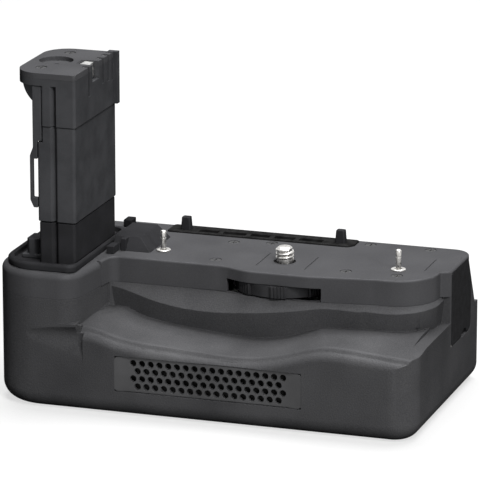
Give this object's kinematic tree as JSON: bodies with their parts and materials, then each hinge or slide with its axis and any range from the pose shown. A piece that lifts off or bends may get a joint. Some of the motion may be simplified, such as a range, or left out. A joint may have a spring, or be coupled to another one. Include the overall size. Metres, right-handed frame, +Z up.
{
  "type": "camera battery grip",
  "caption": "Camera battery grip with a finger shelf, cooling blower behind a front grille, raised battery-bay tower, camera screw with a side wheel and a battery door.",
  "frame": {"origin": "centre of the tripod socket's mouth in the underside, straight below the camera screw", "axes": "+X along the grip towards the port cover, -Y towards the grille and finger shelf, +Z up to the camera"},
  "size_m": [0.1488, 0.0825, 0.1138],
  "materials": {
    "case_plastic": "fine moulded texture, matt",
    "deck_plastic": "fine moulded texture, matt",
    "inner_plastic": "smooth moulded, matt",
    "tower_plastic": "satin moulded",
    "grille_metal": "black powder coat",
    "dial_plastic": "ribbed rim, satin",
    "seal_rubber": "soft matt rubber",
    "grip_rubber": "fine leather grain",
    "base_metal": "matt black paint",
    "steel": "turned steel",
    "screw_black": "black oxide steel",
    "brass": "plated contact",
    "shield_metal": "plated sheet",
    "board_green": "solder mask",
    "chip_black": "moulded package",
    "filter_cloth": "open mesh",
    "chassis_metal": "pressed sheet",
    "ribbon": "flat ribbon"
  },
  "bodies": {
    "root": {"air_duct": "inner_plastic", "base_pad": "grip_rubber", "base_plate": "base_metal", "base_screws": "screw_black", "battery_bay": "inner_plastic", "battery_contact_block": "inner_plastic", "battery_contacts": "brass", "blower_cover": "inner_plastic", "blower_housing": "inner_plastic", "blower_motor": "screw_black", "board_parts": "chip_black", "cable_socket": "inner_plastic", "chassis": "chassis_metal", "circuit_board": "board_green", "deck_screws": "screw_black", "door_hinge_pin": "steel", "door_keeper": "deck_plastic", "duct_gasket": "seal_rubber", "dust_filter": "filter_cloth", "front_grille": "grille_metal", "guide_post_left": "inner_plastic", "guide_post_right": "inner_plastic", "head_cap": "deck_plastic", "head_contacts": "shield_metal", "head_screws": "screw_black", "impeller_shaft": "steel", "keeper_stop": "inner_plastic", "locating_pin_left": "steel", "locating_pin_right": "steel", "lower_case": "case_plastic", "network_port": "shield_metal", "pin_collars": "steel", "port_board": "board_green", "port_frame": "inner_plastic", "port_hinge_pin": "steel", "screw_spring": "steel", "thumb_pad": "grip_rubber", "tower_cable": "ribbon", "tower_clip": "tower_plastic", "tower_collar": "deck_plastic", "tower_foot": "tower_plastic", "tower_head": "tower_plastic", "tower_lug": "tower_plastic", "tower_sleeve": "tower_plastic", "tripod_socket": "steel", "upper_case": "deck_plastic", "usb_port": "shield_metal"},
    "dial": {"lock_dial": "dial_plastic"},
    "screw": {"camera_screw": "steel"},
    "cover": {"port_cover": "grip_rubber"},
    "door": {"battery_door": "case_plastic"},
    "latch": {"door_latch": "dial_plastic"},
    "catch": {"battery_catch": "dial_plastic"},
    "fan": {"blower_impeller": "dial_plastic"}
  },
  "joints": [
    {"name": "dial_turn", "type": "hinge", "parent": "root", "child": "dial", "pos_m": [0, 0, 0.0412], "axis": [0, 0, 1], "continuous": true},
    {"name": "screw_drop", "type": "slide", "parent": "dial", "child": "screw", "axis": [0, 0, 1], "range_m": [-0.002, 0], "stiffness_N_per_m": 900, "springref_m": 0.001, "deforming": ["screw_spring"]},
    {"name": "port_cover_hinge", "type": "hinge", "parent": "root", "child": "cover", "pos_m": [0.0561, 0.00705, 0.0336], "axis": [0, 0, -1], "range_deg": [0, 90]},
    {"name": "door_hinge", "type": "hinge", "parent": "root", "child": "door", "pos_m": [-0.0848, 0.041, 0.0154], "axis": [0, 0, 1], "range_deg": [0, 100]},
    {"name": "latch_slide", "type": "slide", "parent": "door", "child": "latch", "axis": [-1, 0, 0], "range_m": [0, 0.002], "stiffness_N_per_m": 250, "springref_m": -0.001},
    {"name": "catch_slide", "type": "slide", "parent": "root", "child": "catch", "axis": [1, 0, 0], "range_m": [0, 0.002], "stiffness_N_per_m": 300, "springref_m": -0.001},
    {"name": "fan_spin", "type": "hinge", "parent": "root", "child": "fan", "pos_m": [-0.0255, 0.0086, 0.014], "axis": [0, 0, 1], "continuous": true}
  ]
}
